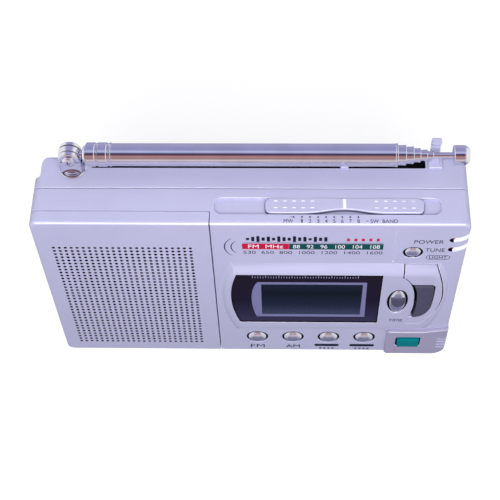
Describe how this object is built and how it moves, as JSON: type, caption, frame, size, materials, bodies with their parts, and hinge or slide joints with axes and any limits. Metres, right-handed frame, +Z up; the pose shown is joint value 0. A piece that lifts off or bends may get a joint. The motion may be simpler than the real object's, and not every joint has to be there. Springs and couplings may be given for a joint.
{
  "type": "tabletop radio",
  "caption": "Flat portable multiband radio: perforated speaker panel, dark display in a raised bezel, round push keys, top band slider and telescopic antenna.",
  "frame": {"origin": "bottom centre of the radio's box, on the surface that it stands on", "axes": "+Z up, -Y out of the front with the display and speaker, +X to the right seen from the front, along the collapsed antenna"},
  "size_m": [0.131, 0.0275, 0.0895],
  "materials": {
    "silver_plastic": "fine satin silver-lavender moulding",
    "silver_key": "glossy silver keys",
    "dark_window": "glossy near-black window",
    "display_glass": "dark display glass",
    "dark_grey_key": "dark grey satin keys",
    "green_key": "blue-green key",
    "red_lens": "red indicator lens",
    "chrome": "polished chrome",
    "steel": "plain zinc-plated steel",
    "rubber": "moulded rubber",
    "board": "circuit board laminate",
    "black_plastic": "black moulding",
    "speaker_paper": "pressed paper cone",
    "ferrite": "dull dark ferrite",
    "copper_wire": "enamelled copper wire",
    "cell_sleeve": "plain printed battery sleeve",
    "white_plastic": "white diffuser"
  },
  "bodies": {
    "cabinet": {"front_cabinet": "silver_plastic", "speaker_cover": "silver_plastic", "rear_cover": "silver_plastic", "antenna_clip": "silver_plastic", "key_inlay": "silver_plastic", "speaker_basket": "steel", "speaker_cone": "speaker_paper", "speaker_magnet": "steel", "display_lens": "dark_window", "lcd_panel": "display_glass", "backlight_plate": "white_plastic", "key_mat": "rubber", "power_led": "red_lens", "tune_led": "red_lens", "circuit_board": "board", "band_switch": "steel", "volume_control": "steel", "earphone_jack": "black_plastic", "dc_jack": "black_plastic", "ferrite_rod": "ferrite", "ferrite_coil": "copper_wire", "battery_1": "cell_sleeve", "battery_2": "cell_sleeve", "battery_plate_1": "steel", "battery_plate_2": "steel", "battery_spring_1": "steel", "battery_spring_2": "steel", "case_screw_1": "steel", "case_screw_2": "steel", "case_screw_3": "steel", "case_screw_4": "steel"},
    "tune_up_key": {"tune_up_key": "dark_grey_key"},
    "tune_down_key": {"tune_down_key": "dark_grey_key"},
    "fm_button": {"fm_button": "silver_key"},
    "am_button": {"am_button": "silver_key"},
    "memory_button": {"memory_button": "silver_key"},
    "alarm_button": {"alarm_button": "silver_key"},
    "light_button": {"light_button": "silver_key"},
    "time_button": {"time_button": "silver_key"},
    "power_key": {"power_key": "green_key"},
    "band_slider": {"band_slider": "silver_plastic"},
    "volume_wheel": {"volume_wheel": "black_plastic"},
    "battery_door": {"battery_door": "silver_plastic"},
    "antenna_swivel": {"antenna_base": "chrome", "antenna_screw": "steel"},
    "antenna_arm": {"antenna_knuckle": "chrome", "antenna_tube_1": "chrome"},
    "antenna_section_2": {"antenna_tube_2": "chrome"},
    "antenna_section_3": {"antenna_tube_3": "chrome"},
    "antenna_section_4": {"antenna_tube_4": "chrome"},
    "antenna_section_5": {"antenna_tube_5": "chrome"},
    "antenna_section_6": {"antenna_tube_6": "chrome"},
    "antenna_whip": {"antenna_rod": "chrome"}
  },
  "joints": [
    {"name": "tune_up_key_press", "type": "slide", "parent": "cabinet", "child": "tune_up_key", "axis": [0, 1, 0], "range_m": [0, 0.0008], "stiffness_N_per_m": 400},
    {"name": "tune_down_key_press", "type": "slide", "parent": "cabinet", "child": "tune_down_key", "axis": [0, 1, 0], "range_m": [0, 0.0008], "stiffness_N_per_m": 400},
    {"name": "fm_button_press", "type": "slide", "parent": "cabinet", "child": "fm_button", "axis": [0, 1, 0], "range_m": [0, 0.0008], "stiffness_N_per_m": 400},
    {"name": "am_button_press", "type": "slide", "parent": "cabinet", "child": "am_button", "axis": [0, 1, 0], "range_m": [0, 0.0008], "stiffness_N_per_m": 400},
    {"name": "memory_button_press", "type": "slide", "parent": "cabinet", "child": "memory_button", "axis": [0, 1, 0], "range_m": [0, 0.0008], "stiffness_N_per_m": 400},
    {"name": "alarm_button_press", "type": "slide", "parent": "cabinet", "child": "alarm_button", "axis": [0, 1, 0], "range_m": [0, 0.0008], "stiffness_N_per_m": 400},
    {"name": "light_button_press", "type": "slide", "parent": "cabinet", "child": "light_button", "axis": [0, 1, 0], "range_m": [0, 0.0006], "stiffness_N_per_m": 400},
    {"name": "time_button_press", "type": "slide", "parent": "cabinet", "child": "time_button", "axis": [0, 1, 0], "range_m": [0, 0.0008], "stiffness_N_per_m": 400},
    {"name": "power_key_press", "type": "slide", "parent": "cabinet", "child": "power_key", "axis": [0, 1, 0], "range_m": [0, 0.001], "stiffness_N_per_m": 400},
    {"name": "band_slide", "type": "slide", "parent": "cabinet", "child": "band_slider", "axis": [1, 0, 0], "range_m": [-0.0145, 0.0045]},
    {"name": "volume_turn", "type": "hinge", "parent": "cabinet", "child": "volume_wheel", "pos_m": [0.0555, -0.00212, 0.0525], "axis": [0, 1, 0], "range_deg": [-135, 135]},
    {"name": "door_slide", "type": "slide", "parent": "cabinet", "child": "battery_door", "axis": [1, 0, 0], "range_m": [0, 0.008]},
    {"name": "antenna_turn", "type": "hinge", "parent": "cabinet", "child": "antenna_swivel", "pos_m": [-0.054, 0.00918, 0.079], "axis": [0, 0, 1], "range_deg": [-270, 0]},
    {"name": "antenna_tilt", "type": "hinge", "parent": "antenna_swivel", "child": "antenna_arm", "pos_m": [-0.054, 0.00918, 0.086], "axis": [0, -1, 0], "range_deg": [0, 90]},
    {"name": "section_2_slide", "type": "slide", "parent": "antenna_arm", "child": "antenna_section_2", "axis": [1, 0, 0], "range_m": [0, 0.078]},
    {"name": "section_3_slide", "type": "slide", "parent": "antenna_section_2", "child": "antenna_section_3", "axis": [1, 0, 0], "range_m": [0, 0.078]},
    {"name": "section_4_slide", "type": "slide", "parent": "antenna_section_3", "child": "antenna_section_4", "axis": [1, 0, 0], "range_m": [0, 0.078]},
    {"name": "section_5_slide", "type": "slide", "parent": "antenna_section_4", "child": "antenna_section_5", "axis": [1, 0, 0], "range_m": [0, 0.078]},
    {"name": "section_6_slide", "type": "slide", "parent": "antenna_section_5", "child": "antenna_section_6", "axis": [1, 0, 0], "range_m": [0, 0.078]},
    {"name": "section_7_slide", "type": "slide", "parent": "antenna_section_6", "child": "antenna_whip", "axis": [1, 0, 0], "range_m": [0, 0.078]}
  ]
}
